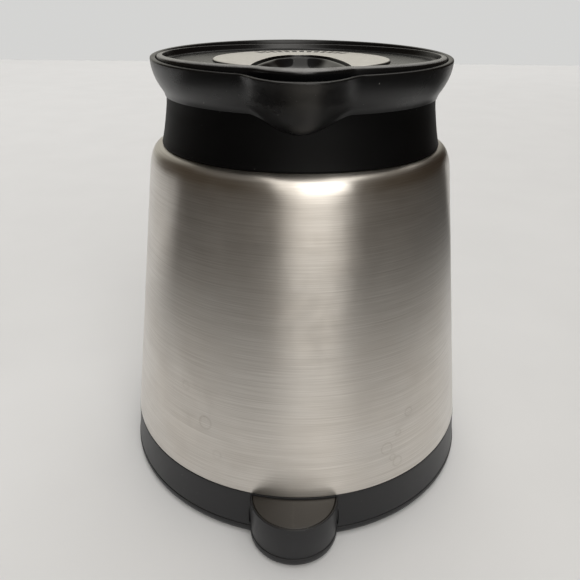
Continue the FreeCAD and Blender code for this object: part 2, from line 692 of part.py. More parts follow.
# ---- push button and valve ----------------------------------------------------------------------
def button_cap():
    """Long rounded push pad: a sunk tray on top and a skirt that runs in the lid's well."""
    top = BUTTON_TOP_Z
    under = BUTTON_TRAY_Z - 1.4
    cap = button_column(0.0, BUTTON_SKIRT_Z, top - 0.4).fuse(button_taper(0.0, top - 0.4, -0.4, top))
    cap = cap.cut(button_taper(-4.6, BUTTON_TRAY_Z, -1.4, top))
    cap = cap.cut(button_column(-1.5, 140.0, under))
    boss = rod(7.6, SPRING_HIGH_Z - 0.4, under + 0.4).fuse(rod(4.6, 144.0, under + 0.4))
    boss = boss.cut(tube(4.6, 9.0, 140.0, SPRING_HIGH_Z))
    cap = cap.fuse(boss)
    return cap.cut(rod(STEM_R, 143.0, STEM_TOP_Z + 0.1)).removeSplitter()


def valve_stem():
    stem = rod(STEM_R, VALVE_TOP_Z, STEM_TOP_Z)
    return stem.cut(rod(STEM_SHAFT_R, 126.0, STEM_SCREW_TIP_Z + 0.2))


def valve_disc():
    disc = turned([
        (0.0, VALVE_LOW_Z), (5.0, VALVE_LOW_Z), (VALVE_R - 0.6, 125.4), (VALVE_R, 126.0), (VALVE_R, 127.6),
        (12.5, 127.6), (12.5, 126.9), (10.9, 126.9), (10.9, VALVE_TOP_Z), (0.0, VALVE_TOP_Z)])
    return disc.cut(rod(STEM_SHAFT_R, 120.0, 130.0))


def valve_seal():
    """Ring that closes against the underside of the plug."""
    return turned([
        (10.9, 126.9), (12.5, 126.9), (12.5, 127.6), (12.1, PLUG_LOW_Z), (11.4, PLUG_LOW_Z),
        (10.9, 127.5)])


def stem_screw():
    return screw(0, 0, VALVE_LOW_Z, 3.4, 1.7, STEM_SHAFT_R, STEM_SCREW_TIP_Z)


def valve_spring():
    """Coil of wire with an eight-sided section, seated on the plug and under the button."""
    low = SPRING_LOW_Z + SPRING_WIRE_R
    rise = SPRING_HIGH_Z - SPRING_LOW_Z - 2 * SPRING_WIRE_R
    per_turn = 10
    total = SPRING_TURNS * per_turn
    points = []
    for step in range(total + 1):
        x, y = polar(SPRING_COIL_R, 360 * step / per_turn)
        points.append(Vector(x, y, low + rise * step / total))
    curve = Part.BSplineCurve()
    curve.interpolate(points)
    start = curve.value(curve.FirstParameter)
    along = curve.tangent(curve.FirstParameter)[0]
    along.normalize()
    outward = Vector(1, 0, 0)
    upward = along.cross(outward)
    section = []
    for side in range(9):
        u, v = polar(SPRING_WIRE_R, 45 * side)
        section.append(start + outward * u + upward * v)
    section[-1] = section[0]
    coil = Part.Wire([curve.toShape()]).makePipeShell([Part.makePolygon(section)], True, True)
    if coil.Volume < 0:
        coil.reverse()
    return coil


BUILDERS = (
    outer_shell, inner_liner, radiation_foil, shell_bottom, vacuum_seal, getter,
    base_ring, lug_cap, lug_magnet, foot_cover, foot_ring, base_screws,
    neck_band, pour_ring, mouth_gasket,
    handle_frame, handle_grip, handle_screws,
    lid_shell, lid_plate, stopper_body, stopper_gasket, lid_screws,
    button_cap, valve_stem, valve_disc, valve_seal, stem_screw, valve_spring)


def main():
    os.makedirs("parts", exist_ok=True)
    for build in BUILDERS:
        shape = build()
        shape.exportStep("parts/" + build.__name__ + ".step")
        print(build.__name__, shape.isValid(), len(shape.Solids), round(shape.Volume, 1))


main()
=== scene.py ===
import math

import bmesh
import bpy
from mathutils import Matrix, Vector


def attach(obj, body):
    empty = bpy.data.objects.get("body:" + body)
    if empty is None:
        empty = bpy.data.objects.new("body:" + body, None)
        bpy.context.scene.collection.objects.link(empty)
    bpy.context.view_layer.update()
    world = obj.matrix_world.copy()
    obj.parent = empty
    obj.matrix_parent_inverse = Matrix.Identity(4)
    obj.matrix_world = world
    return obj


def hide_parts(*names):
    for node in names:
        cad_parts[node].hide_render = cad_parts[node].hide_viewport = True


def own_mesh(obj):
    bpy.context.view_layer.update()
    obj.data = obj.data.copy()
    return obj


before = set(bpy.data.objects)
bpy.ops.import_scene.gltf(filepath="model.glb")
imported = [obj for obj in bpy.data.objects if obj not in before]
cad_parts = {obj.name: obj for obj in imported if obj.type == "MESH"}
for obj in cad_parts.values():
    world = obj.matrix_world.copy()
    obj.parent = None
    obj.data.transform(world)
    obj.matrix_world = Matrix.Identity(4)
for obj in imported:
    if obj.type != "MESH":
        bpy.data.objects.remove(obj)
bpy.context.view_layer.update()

# Thermal carafe. Lengths are millimetres in the row's frame, unless a name ends in _M for metres: +Z up the
# jug's axis, pouring lip and base lug towards -Y, handle towards +Y. MM turns them into metres.
MM = 0.001
TURN = 2 * math.pi
SEGMENTS = 288
INNER_SEGMENTS = 192
WELD_M = 1e-7
SLIVER_M = 1e-8

# ---- shapes ------------------------------------------------------------------------------------------


def smooth_run(points, steps=6):
    """Catmull-Rom curve through the points."""
    out = []
    last = len(points) - 1
    for i in range(last):
        p0 = points[max(i - 1, 0)]
        p1, p2 = points[i], points[i + 1]
        p3 = points[min(i + 2, last)]
        for k in range(steps):
            t = k / steps
            out.append(tuple(
                0.5 * (2 * b + (c - a) * t + (2 * a - 5 * b + 4 * c - d) * t * t
                       + (3 * b - a - 3 * c + d) * t ** 3)
                for a, b, c, d in zip(p0, p1, p2, p3)))
    out.append(tuple(points[-1]))
    return out


def soften(corners, steps=4):
    """Closed outline with rounded corners. Each corner is (r, z) or (r, z, radius)."""
    out = []
    count = len(corners)
    longest_share = 0.45
    for i in range(count):
        here = corners[i]
        if len(here) < 3:
            out.append(here)
            continue
        p = Vector(here[:2])
        a = Vector(corners[i - 1][:2]) - p
        b = Vector(corners[(i + 1) % count][:2]) - p
        reach = min(here[2], a.length * longest_share, b.length * longest_share)
        start = p + a.normalized() * reach
        end = p + b.normalized() * reach
        for k in range(steps + 1):
            t = k / steps
            q = start * (1 - t) ** 2 + p * (2 * t * (1 - t)) + end * t * t
            out.append((q.x, q.y))
    return out


def shade(obj, sharp):
    """Smooth shading, with creases where the surface turns by more than sharp degrees."""
    mesh = obj.data
    mesh.polygons.foreach_set("use_smooth", [True] * len(mesh.polygons))
    mesh.set_sharp_from_angle(angle=math.radians(sharp))
    mesh.update()


def mesh_object(name, verts, faces, sharp=32):
    """New object from millimetre vertices, welded, and with its normals made consistent."""
    mesh = bpy.data.meshes.new(name)
    mesh.from_pydata([(x * MM, y * MM, z * MM) for x, y, z in verts], [], faces)
    bm = bmesh.new()
    bm.from_mesh(mesh)
    bmesh.ops.remove_doubles(bm, verts=bm.verts, dist=WELD_M)
    bmesh.ops.dissolve_degenerate(bm, edges=bm.edges, dist=SLIVER_M)
    bmesh.ops.recalc_face_normals(bm, faces=bm.faces)
    bm.to_mesh(mesh)
    bm.free()
    obj = bpy.data.objects.new(name, mesh)
    bpy.context.scene.collection.objects.link(obj)
    shade(obj, sharp)
    return obj


def lathe(name, outline, segments=SEGMENTS, centre=(0.0, 0.0)):
    """Solid of revolution from a closed (r, z) outline, about an upright axis."""
    on_axis = 1e-6
    verts = []
    for i in range(segments):
        c, s = math.cos(TURN * i / segments), math.sin(TURN * i / segments)
        verts += [(centre[0] + r * c, centre[1] + r * s, z) for r, z in outline]
    n = len(outline)
    faces = []
    for i in range(segments):
        a, b = i * n, (i + 1) % segments * n
        for j in range(n):
            k = (j + 1) % n
            if outline[j][0] < on_axis and outline[k][0] < on_axis:
                continue
            faces.append((a + j, b + j, b + k, a + k))
    return mesh_object(name, verts, faces)


def loop_loft(name, loops, sharp=32, close=True):
    """Skin over loops of equal length. With close, the last loop joins the first, like a ring."""
    n = len(loops[0])
    verts = [p for loop in loops for p in loop]
    faces = []
    spans = len(loops) if close else len(loops) - 1
    for i in range(spans):
        a, b = i * n, (i + 1) % len(loops) * n
        for j in range(n):
            k = (j + 1) % n
            faces.append((a + j, a + k, b + k, b + j))
    if not close:
        faces.append(tuple(range(n)))
        faces.append(tuple(range((len(loops) - 1) * n, len(loops) * n)))
    return mesh_object(name, verts, faces, sharp)


def combine(obj, other, operation, sharp=32):
    """Exact boolean of two objects. The second is used up."""
    tool = obj.modifiers.new("combine", "BOOLEAN")
    tool.object = other
    tool.operation = operation
    tool.solver = "EXACT"
    bpy.context.view_layer.update()
    done = obj.evaluated_get(bpy.context.evaluated_depsgraph_get())
    mesh = bpy.data.meshes.new_from_object(done)
    obj.modifiers.clear()
    old = obj.data
    obj.data = mesh
    mesh.name = old.name
    bpy.data.meshes.remove(old)
    bpy.data.meshes.remove(other.data)
    shade(obj, sharp)
    return obj


def cutter(radius, low, high, x=0.0, y=0.0, segments=96):
    """Upright cylinder for a boolean."""
    return lathe("cutter", [(0, low), (radius, low), (radius, high), (0, high)], segments, (x, y))


def cutter_box(x0, x1, y0, y1, z0, z1):
    verts = [(x, y, z) for z in (z0, z1) for y in (y0, y1) for x in (x0, x1)]
    faces = [(0, 2, 3, 1), (4, 5, 7, 6), (0, 1, 5, 4), (2, 6, 7, 3), (0, 4, 6, 2), (1, 3, 7, 5)]
    return mesh_object("cutter", verts, faces)


def polar(radius, angle):
    """(x, y) at an angle in degrees from +X."""
    turn = math.radians(angle)
    return radius * math.cos(turn), radius * math.sin(turn)


# ---- materials ---------------------------------------------------------------------------------------


class Nodes:
    """Short forms for filling a node tree."""

    def __init__(self, tree, space):
        self.tree = tree
        self.tree.nodes.clear()
        self.coords = self.add("ShaderNodeTexCoord").outputs[space]

    def add(self, kind, **settings):
        node = self.tree.nodes.new(kind)
        for key, value in settings.items():
            setattr(node, key, value)
        return node

    def link(self, source, target):
        self.tree.links.new(source, target)

    def put(self, node, key, value):
        """Link a socket to an input, or set the input to a plain value."""
        socket = node.inputs[key]
        if isinstance(value, bpy.types.NodeSocket):
            self.link(value, socket)
        else:
            socket.default_value = value

    def math(self, operation, a, b=0.0, clamp=False):
        node = self.add("ShaderNodeMath", operation=operation, use_clamp=clamp)
        self.put(node, 0, a)
        self.put(node, 1, b)
        return node.outputs[0]

    def product(self, first, *others):
        total = first
        for other in others:
            total = self.math("MULTIPLY", total, other)
        return total

    def span(self, value, low, high, to_low=0.0, to_high=1.0, smooth=False):
        """to_low at or below low, to_high at or above high, and a ramp between them."""
        node = self.add("ShaderNodeMapRange", clamp=True)
        if smooth:
            node.interpolation_type = "SMOOTHSTEP"
        self.put(node, "Value", value)
        for key, number in (("From Min", low), ("From Max", high), ("To Min", to_low), ("To Max", to_high)):
            self.put(node, key, number)
        return node.outputs[0]

    def rise(self, value, low, high):
        return self.span(value, low, high, 0.0, 1.0, smooth=True)

    def fall(self, value, low, high):
        return self.span(value, low, high, 1.0, 0.0, smooth=True)

    def noise(self, size, detail=3.0, vector=None, rough=0.55):
        """Noise whose features are about size across."""
        node = self.add("ShaderNodeTexNoise")
        self.put(node, "Vector", vector or self.coords)
        self.put(node, "Scale", 1.0 / (size * MM))
        self.put(node, "Detail", detail)
        self.put(node, "Roughness", rough)
        return node.outputs["Fac"]

    def mix(self, share, a, b):
        node = self.add("ShaderNodeMix", data_type="RGBA")
        self.put(node, 0, share)
        self.put(node, 6, a)
        self.put(node, 7, b)
        return node.outputs[2]

    def parts(self, vector):
        """The x, y and z of a vector."""
        node = self.add("ShaderNodeSeparateXYZ")
        self.link(vector, node.inputs[0])
        return list(node.outputs)

    def joined(self, x, y, z):
        node = self.add("ShaderNodeCombineXYZ")
        for key, value in enumerate((x, y, z)):
            self.put(node, key, value)
        return node.outputs[0]

    def length(self, vector):
        node = self.add("ShaderNodeVectorMath", operation="LENGTH")
        self.link(vector, node.inputs[0])
        return node.outputs["Value"]


class Shader(Nodes):
    """A new material with one Principled surface."""

    def __init__(self, name):
        self.material = bpy.data.materials.new(name)
        self.material.use_nodes = True
        super().__init__(self.material.node_tree, "Object")
        out = self.add("ShaderNodeOutputMaterial")
        self.surface = self.add("ShaderNodeBsdfPrincipled")
        self.link(self.surface.outputs[0], out.inputs["Surface"])

    def set(self, key, value):
        self.put(self.surface, key, value)

    def bump(self, height, depth, strength):
        node = self.add("ShaderNodeBump")
        self.put(node, "Strength", strength)
        self.put(node, "Distance", depth * MM)
        self.put(node, "Height", height)
        return node.outputs[0]

    def edges(self):
        """Share of wear on convex edges."""
        return self.span(self.add("ShaderNodeNewGeometry").outputs["Pointiness"], 0.53, 0.60)

    def upward(self):
        """The z of the face's own normal."""
        return self.parts(self.add("ShaderNodeNewGeometry").outputs["True Normal"])[2]


def rgb(r, g, b):
    return (r, g, b, 1.0)


def grey(tone):
    return rgb(tone, tone, tone)


def toned(colour, factor, lift=0.0):
    """The colour made darker or lighter."""
    return rgb(*[min(c * factor + lift, 1.0) for c in colour])


def moulded(name, colour, rough, grain=0.25, grain_depth=0.006, dust=0.0, specular=0.5, painted_rim_highlight=None):
    """Moulded plastic: fine texture, soft blotches in the sheen, pale worn edges and a little dust.

    The last argument is (low z, high z, tone): a painted highlight, where faces that look up, in front,
    are painted paler between those heights.
    """
    blotch_size, wipe_size, wear_size, speck_size, dusty_size = 14.0, 4.0, 1.6, 0.55, 17.0
    front, back = -12.0, 20.0
    s = Shader(name)
    blotch = s.noise(blotch_size, 2.0)
    fine = s.noise(grain, 2.0)
    wipe = s.noise(wipe_size, 2.0)
    base = s.mix(s.span(blotch, 0.3, 0.7), toned(colour, 0.88), toned(colour, 1.14))
    wear = s.product(s.edges(), s.span(s.noise(wear_size, 3.0), 0.35, 0.65), 0.3)
    base = s.mix(wear, base, toned(colour, 2.2, 0.006))
    # painted highlight: faces that look up, in front, between two heights, are painted a paler tone
    if painted_rim_highlight:
        low, high, tone = painted_rim_highlight
        _, y, z = s.parts(s.coords)
        share = s.product(
            s.rise(z, low * MM, high * MM),
            s.span(s.upward(), 0.3, 0.75),
            s.span(y, front * MM, back * MM, 1.0, 0.0),
            s.span(wipe, 0.3, 0.6, 0.75, 1.0))
        base = s.mix(share, base, grey(tone))
    if dust:
        specks = s.span(s.noise(speck_size, 0.0), 0.85, 0.87)
        dusty = s.span(s.noise(dusty_size, 1.0), 0.52, 0.6)
        base = s.mix(s.product(specks, dusty, dust), base, rgb(0.45, 0.44, 0.42))
    s.set("Base Color", base)
    sheen = s.math("ADD", s.span(blotch, 0.3, 0.7, -0.02, 0.02), s.span(wipe, 0.3, 0.7, -0.01, 0.01))
    s.set("Roughness", s.math("ADD", sheen, rough, clamp=True))
    s.set("Specular IOR Level", specular)
    s.set("Normal", s.bump(fine, grain_depth, 0.4))
    return s.material


def water_ring(s, smear, x, z, radius):
    """Share of a dried ring on the front of the steel wall. The smear makes its line uneven."""
    line, wander = 0.6, 1.4
    y = -math.sqrt(wall_r(z) ** 2 - x ** 2)
    away = s.add("ShaderNodeVectorMath", operation="DISTANCE")
    s.link(s.coords, away.inputs[0])
    away.inputs[1].default_value = (x * MM, y * MM, z * MM)
    off = s.math("ABSOLUTE", s.math("SUBTRACT", away.outputs["Value"], radius * MM))
    uneven = s.math("MULTIPLY", s.math("SUBTRACT", smear, 0.5), wander * MM)
    return s.fall(s.math("ADD", off, uneven), 0.0, line * MM)


def steel_material():
    """Steel brushed round the axis, with faint water rings and smears."""
    line_size, hair_size, cloud_size, smear_size = 0.24, 0.45, 26.0, 9.0
    wrap_radius, line_stretch, hair_stretch, hair_lift = 60.0, 0.010, 0.012, 0.01
    s = Shader("brushed_body")
    x, y, z = s.parts(s.coords)
    around = s.math("MULTIPLY", s.math("ARCTAN2", y, x), wrap_radius * MM)
    along_lines = s.joined(s.math("MULTIPLY", around, line_stretch), z, 0.0)
    along_hair = s.joined(s.math("MULTIPLY", around, hair_stretch), z, hair_lift)
    lines = s.noise(line_size, 2.0, along_lines, 0.7)
    hair = s.noise(hair_size, 2.0, along_hair, 0.6)
    cloud = s.noise(cloud_size, 3.0)
    smear = s.noise(smear_size, 4.0, rough=0.65)
    grain = s.math("ADD", s.math("MULTIPLY", lines, 0.6), s.math("MULTIPLY", hair, 0.4))
    base = s.mix(s.span(grain, 0.36, 0.64), rgb(0.535, 0.502, 0.460), rgb(0.690, 0.660, 0.617))
    base = s.mix(s.math("MULTIPLY", s.span(cloud, 0.4, 0.75), 0.30), base, rgb(0.53, 0.475, 0.41))
    stain = 0.0
    for ring_x, ring_z, radius in WATER_RINGS:
        stain = s.math("MAXIMUM", stain, water_ring(s, smear, ring_x, ring_z, radius))
    stain = s.math("MULTIPLY", stain, s.span(smear, 0.4, 0.6, 0.2, 0.9))
    base = s.mix(s.math("MULTIPLY", stain, 0.42), base, rgb(0.40, 0.36, 0.31))
    s.set("Base Color", base)
    s.set("Metallic", 1.0)
    rough = s.math("ADD", s.span(smear, 0.35, 0.7, -0.02, 0.03), s.math("MULTIPLY", stain, 0.08))
    s.set("Roughness", s.math("ADD", rough, 0.30, clamp=True))
    s.set("Anisotropic", 0.80)
    s.set("Anisotropic Rotation", 0.25)
    s.set("Tangent", s.add("ShaderNodeTangent", direction_type="RADIAL", axis="Z").outputs[0])
    s.set("Normal", s.bump(cloud, 0.02, 0.5))
    return s.material


def metal_material(name, colour, rough, grain=0.3, spread=0.06, spin=False, painted_wall_shade=0.0):
    """Satin metal. With spin, the grain runs round the upright axis. The last argument, when given, is the
    tone of its upright walls: painted shade that darkens them."""
    cloud_size, per_radian = 11.0, 0.4
    s = Shader(name)
    vector = s.coords
    if spin:
        x, y, z = s.parts(s.coords)
        around = s.math("MULTIPLY", s.math("ARCTAN2", y, x), per_radian * MM)
        vector = s.joined(s.length(s.joined(x, y, 0.0)), around, z)
    fine = s.noise(grain, 3.0, vector, 0.7)
    cloud = s.noise(cloud_size, 3.0)
    base = s.mix(s.span(fine, 0.3, 0.7), toned(colour, 0.9), toned(colour, 1.08))
    base = s.mix(s.math("MULTIPLY", s.span(cloud, 0.45, 0.75), 0.2), base, toned(colour, 0.75))
    # painted shade: the upright walls are darkened to this tone
    if painted_wall_shade:
        upright = s.span(s.math("ABSOLUTE", s.upward()), 0.3, 0.8, 1.0, 0.0)
        base = s.mix(upright, base, grey(painted_wall_shade))
    s.set("Base Color", base)
    s.set("Metallic", 1.0)
    s.set("Roughness", s.math("ADD", s.span(fine, 0.3, 0.7, -spread, spread), rough, clamp=True))
    s.set("Normal", s.bump(fine, 0.006, 0.4))
    return s.material


def silicone(name, colour):
    s = Shader(name)
    s.set("Base Color", s.mix(s.noise(5.0, 2.0), toned(colour, 0.85), rgb(*colour)))
    s.set("Roughness", s.span(s.noise(1.2, 3.0), 0.3, 0.7, 0.36, 0.50))
    s.set("Subsurface Weight", 0.15)
    s.set("Subsurface Radius", (0.002, 0.002, 0.002))
    s.set("Normal", s.bump(s.noise(0.4, 2.0), 0.008, 0.5))
    return s.material


def polished_black():
    """Polished black plastic with fine wipe marks and a few specks of dust."""
    s = Shader("polished_button")
    specks = s.span(s.noise(0.40, 0.0), 0.85, 0.87)
    base = s.mix(s.noise(8.0, 2.0), grey(0.004), rgb(0.009, 0.009, 0.010))
    s.set("Base Color", s.mix(s.math("MULTIPLY", specks, 0.35), base, grey(0.4)))
    s.set("Roughness", s.span(s.noise(2.2, 4.0, rough=0.7), 0.35, 0.7, 0.05, 0.14))
    s.set("Specular IOR Level", 0.25)
    s.set("Coat Weight", 0.12)
    s.set("Coat Roughness", 0.04)
    s.set("Normal", s.bump(s.noise(6.0, 1.0), 0.012, 0.25))
    return s.material


# ---- steel body --------------------------------------------------------------------------------------
CONE_LOW = (67.83, 18.3)
CONE_HIGH = (54.31, 117.0)
MOUTH_R = 44.4
MOUTH_Z = 141.4
VACUUM_GAP = 6.5
LINER_WALL = 0.6
LINER_FLOOR_Z = 14.0
WATER_RINGS = ((-31.0, 41.0, 2.4), (-27.0, 30.0, 1.6), (32.0, 32.0, 2.2), (36.5, 25.0, 1.9),
               (39.5, 43.0, 1.6), (34.5, 27.5, 1.2), (-38.0, 52.0, 1.5), (36.0, 36.5, 1.1))


def wall_r(z):
    """Radius of the steel cone's outside."""
    share = (z - CONE_LOW[1]) / (CONE_HIGH[1] - CONE_LOW[1])
    return CONE_LOW[0] + share * (CONE_HIGH[0] - CONE_LOW[0])


def build_shell():
    shoulder = smooth_run([(54.86, 113.0), CONE_HIGH, (53.93, 119.5), (53.40, 122.0), (52.60, 124.0),
                           (51.70, 125.2), (50.50, 126.0), (49.20, 126.35)], 5)
    cone = [(wall_r(z), z) for z in range(22, 113, 6)]
    hem = [(66.0, 7.0), (66.0, 18.3), (67.55, 18.3), (67.75, 18.37), (67.82, 18.6)]
    mouth = [(46.0, 126.7), (44.8, 127.3), (MOUTH_R, 128.2), (MOUTH_R, MOUTH_Z), (43.6, MOUTH_Z),
             (43.6, 127.9)]
    inside = [(46.2, 126.0), (49.0, 125.5), (51.1, 124.6), (52.6, 121.8), (53.5, 117.0), (66.95, 19.1),
              (65.2, 19.1), (65.2, 7.0)]
    return lathe("steel_body", hem + cone + shoulder + mouth + inside)


def build_liner():
    high, low = 112.0, 24.0
    top_r, low_r = wall_r(high) - VACUUM_GAP, wall_r(low) - VACUUM_GAP
    inner_floor = LINER_FLOOR_Z + LINER_WALL
    outside = smooth_run([(42.6, 128.0), (43.3, 124.6), (45.4, 121.4), (47.3, 117.5), (top_r, high)])
    corner = smooth_run([(low_r, low), (60.2, 19.0), (58.2, 15.8), (55.0, 14.3), (52.0, LINER_FLOOR_Z)])
    inner_corner = smooth_run([(51.9, inner_floor), (54.7, 14.9), (57.7, 16.3), (59.6, 19.3),
                               (low_r - LINER_WALL, low + 0.2)])
    inner_top = smooth_run([(top_r - LINER_WALL, high - 0.1), (46.7, 117.2), (44.85, 121.1), (42.75, 124.3),
                            (42.0, 128.0)])
    mouth = [(42.0, 141.6), (42.15, 142.0), (42.5, 142.1), (44.0, 142.1), (44.35, 142.0), (MOUTH_R, 141.8),
             (MOUTH_R, MOUTH_Z), (42.6, MOUTH_Z)]
    floor = [(0.0, LINER_FLOOR_Z), (0.0, inner_floor)]
    return lathe("liner", mouth + outside + corner + floor + inner_corner + inner_top, INNER_SEGMENTS)


# ---- base --------------------------------------------------------------------------------------------
BASE_SEGMENTS = 360
LUG_SEGMENTS = 160
LUG = (0.0, -66.0)
LUG_R = 15.3
LUG_TOP_Z = 17.6
LUG_SHELF_Z = 16.4
BASE_LOW_Z = 4.3
BASE_TOP_Z = 18.1
COVER_LOW_Z = 0.6
COVER_TOP_Z = 4.2
COVER_FLOOR_Z = 2.6
LUG_ROOT_R = 66.4
BASE_MIDDLE_R = 68.75
CAP_BACK_R = 68.08
BASE_CUT = (0, 30)
FOOT_RING = (44.6, 51.3)
FOOT_GROOVE = (44.5, 51.4, 1.5)
TONGUE_HALF = 7.0
TONGUE_THICK = 3.5
LOW_TONGUE = (66.6, 83.0, 5.0)
TOP_TONGUE = (46.0, 61.0, 131.0)
SCREW_HOLE_R = 1.6
LOW_SCREW_Y = 76.5
TOP_SCREW_Y = 55.0


def tongue_outline(start, end):
    """Flat tab along +Y with a round end, as (x, y) pairs."""
    bend = end - TONGUE_HALF
    steps = 24
    arc = [math.pi * k / steps for k in range(1, steps)]
    return ([(TONGUE_HALF, start), (TONGUE_HALF, bend)]
            + [(TONGUE_HALF * math.cos(a), bend + TONGUE_HALF * math.sin(a)) for a in arc]
            + [(-TONGUE_HALF, bend), (-TONGUE_HALF, start)])


def handle_tongue(start, end, low):
    """Bracket for the handle."""
    loops = [[(x, y, z) for x, y in tongue_outline(start, end)] for z in (low, low + TONGUE_THICK)]
    return loop_loft("tongue", loops, close=False)


def build_base_ring():
    wall = smooth_run([(67.95, 17.6), (68.25, 14.0), (68.75, 9.0), (69.2, 5.2)], 4)
    inside = [(69.24, 4.5), (69.14, 4.34), (68.9, BASE_LOW_Z), (60.0, BASE_LOW_Z), (60.0, 6.9), (66.05, 6.9),
              (66.05, BASE_TOP_Z)]
    ring = lathe("base_ring_shell", [(67.65, BASE_TOP_Z), (67.85, 17.98)] + wall + inside, BASE_SEGMENTS)
    recess_r = 14.62
    lug_outline = soften([(0.0, BASE_LOW_Z), (LUG_R, BASE_LOW_Z, 0.15), (LUG_R, LUG_TOP_Z, 0.55),
                          (recess_r, LUG_TOP_Z, 0.15), (recess_r, LUG_SHELF_Z), (0.0, LUG_SHELF_Z)])
    lug = lathe("lug", lug_outline, LUG_SEGMENTS, LUG)
    lug = combine(lug, cutter(LUG_ROOT_R, *BASE_CUT, segments=BASE_SEGMENTS), "DIFFERENCE")
    ring = combine(ring, lug, "UNION")
    relief_r, relief_beside_lug = 0.42, 0.15
    for side in (-1, 1):
        x = side * (LUG_R + relief_beside_lug)
        y = -math.sqrt(BASE_MIDDLE_R ** 2 - x ** 2)
        ring = combine(ring, cutter(relief_r, *BASE_CUT, x, y, 24), "DIFFERENCE")
    ring = combine(ring, handle_tongue(*LOW_TONGUE), "UNION")
    return combine(ring, cutter(SCREW_HOLE_R, 0, 12, 0, LOW_SCREW_Y, 32), "DIFFERENCE")


def build_lug_cap():
    low, top, cap_r = 16.45, 17.5, 14.38
    outline = soften([(0.0, low), (cap_r, low), (cap_r, top, 0.35), (0.0, top)])
    cap = lathe("lug_top_cap", outline, LUG_SEGMENTS, LUG)
    return combine(cap, cutter(CAP_BACK_R, *BASE_CUT, segments=BASE_SEGMENTS), "DIFFERENCE")


def build_foot():
    edge = smooth_run([(69.5, 3.9), (69.55, 2.8), (69.0, 1.4), (67.6, COVER_LOW_Z)], 5)
    outline = ([(66.2, COVER_TOP_Z), (69.25, COVER_TOP_Z), (69.42, 4.12)] + edge
               + [(0.0, COVER_LOW_Z), (0.0, COVER_FLOOR_Z), (66.2, COVER_FLOOR_Z)])
    plate = lathe("foot_plate", outline, BASE_SEGMENTS)
    lug_outline = [(0.0, COVER_LOW_Z), (14.2, COVER_LOW_Z), (14.9, 0.95), (15.3, 1.55), (15.5, 2.4),
                   (15.52, 3.95), (15.46, 4.12), (15.3, COVER_TOP_Z), (0.0, COVER_TOP_Z)]
    lug = lathe("lug", lug_outline, LUG_SEGMENTS, LUG)
    lug = combine(lug, cutter(LUG_ROOT_R, COVER_FLOOR_Z, 30, segments=BASE_SEGMENTS), "DIFFERENCE")
    plate = combine(plate, lug, "UNION")
    inside, outside, roof = FOOT_GROOVE
    groove = lathe("cutter", [(inside, -1.0), (outside, -1.0), (outside, roof), (inside, roof)],
                   INNER_SEGMENTS)
    plate = combine(plate, groove, "DIFFERENCE")
    head_r, head_top, circle_r = 2.8, 2.4, 58.0
    for angle in (45, 135, 225, 315):
        x, y = polar(circle_r, angle)
        plate = combine(plate, cutter(head_r, -1, head_top, x, y, 48), "DIFFERENCE")
    return plate


def build_foot_ring():
    inside, outside = FOOT_RING
    top = FOOT_GROOVE[2]
    outline = soften([(inside, top), (inside, 0.0, 0.45), (outside, 0.0, 0.45), (outside, top)])
    return lathe("rubber_foot_ring", outline, INNER_SEGMENTS)


# ---- collar ------------------------------------------------------------------------------------------
LIP_LOW_HALF = math.radians(19.0)
LIP_RIM_HALF = math.radians(20.5)


def build_neck():
    wall = smooth_run([(49.2, 127.0), (48.65, 129.0), (48.00, 132.0), (47.29, 136.0), (46.75, 139.5),
                       (46.55, 142.4)], 5)
    outline = ([(46.0, 127.3), (47.4, 126.85), (48.9, 126.55), (49.15, 126.65)] + wall
               + [(45.45, 142.4), (45.45, 138.0), (44.45, 138.0), (44.45, 129.0)])
    band = lathe("neck_sleeve", outline)
    band = combine(band, handle_tongue(*TOP_TONGUE), "UNION")
    return combine(band, cutter(SCREW_HOLE_R, 120, 140, 0, TOP_SCREW_Y, 32), "DIFFERENCE")


def front_angles():
    """Angles from the front, in radians, closer together near the lip."""
    even, crowded = 0.42, 0.58
    out = []
    for i in range(SEGMENTS):
        u = 2 * i / SEGMENTS - 1
        out.append(math.pi * (even * u + crowded * u ** 3))
    return out


def bump_share(angle, half_angle, sharpness, fall):
    """1 at the front, 0 beyond half_angle, with an S-shaped run-out."""
    u = min(abs(angle) / half_angle, 1.0)
    return (1 - u ** sharpness) ** fall


def lipped_loops(side, front, half_angles, shapes, tilt, tilt_from, tilt_to):
    """One loop per outline point. Each point moves from its side place to its front place near the lip.

    shapes holds each point's (sharpness, fall). Between the heights tilt_from and tilt_to, the loops
    tilt in step: the front goes down by tilt for each millimetre forward.
    """
    loops = []
    for (r0, z0), (r1, z1), half, (sharpness, fall) in zip(side, front, half_angles, shapes):
        loop = []
        for a in front_angles():
            share = bump_share(a, half, sharpness, fall)
            r = r0 + (r1 - r0) * share
            z = z0 + (z1 - z0) * share
            x, y = r * math.sin(a), -r * math.cos(a)
            lean = min(max((z - tilt_from) / (tilt_to - tilt_from), 0.0), 1.0)
            loop.append((x, y, z + tilt * y * lean))
        loops.append(loop)
    return loops


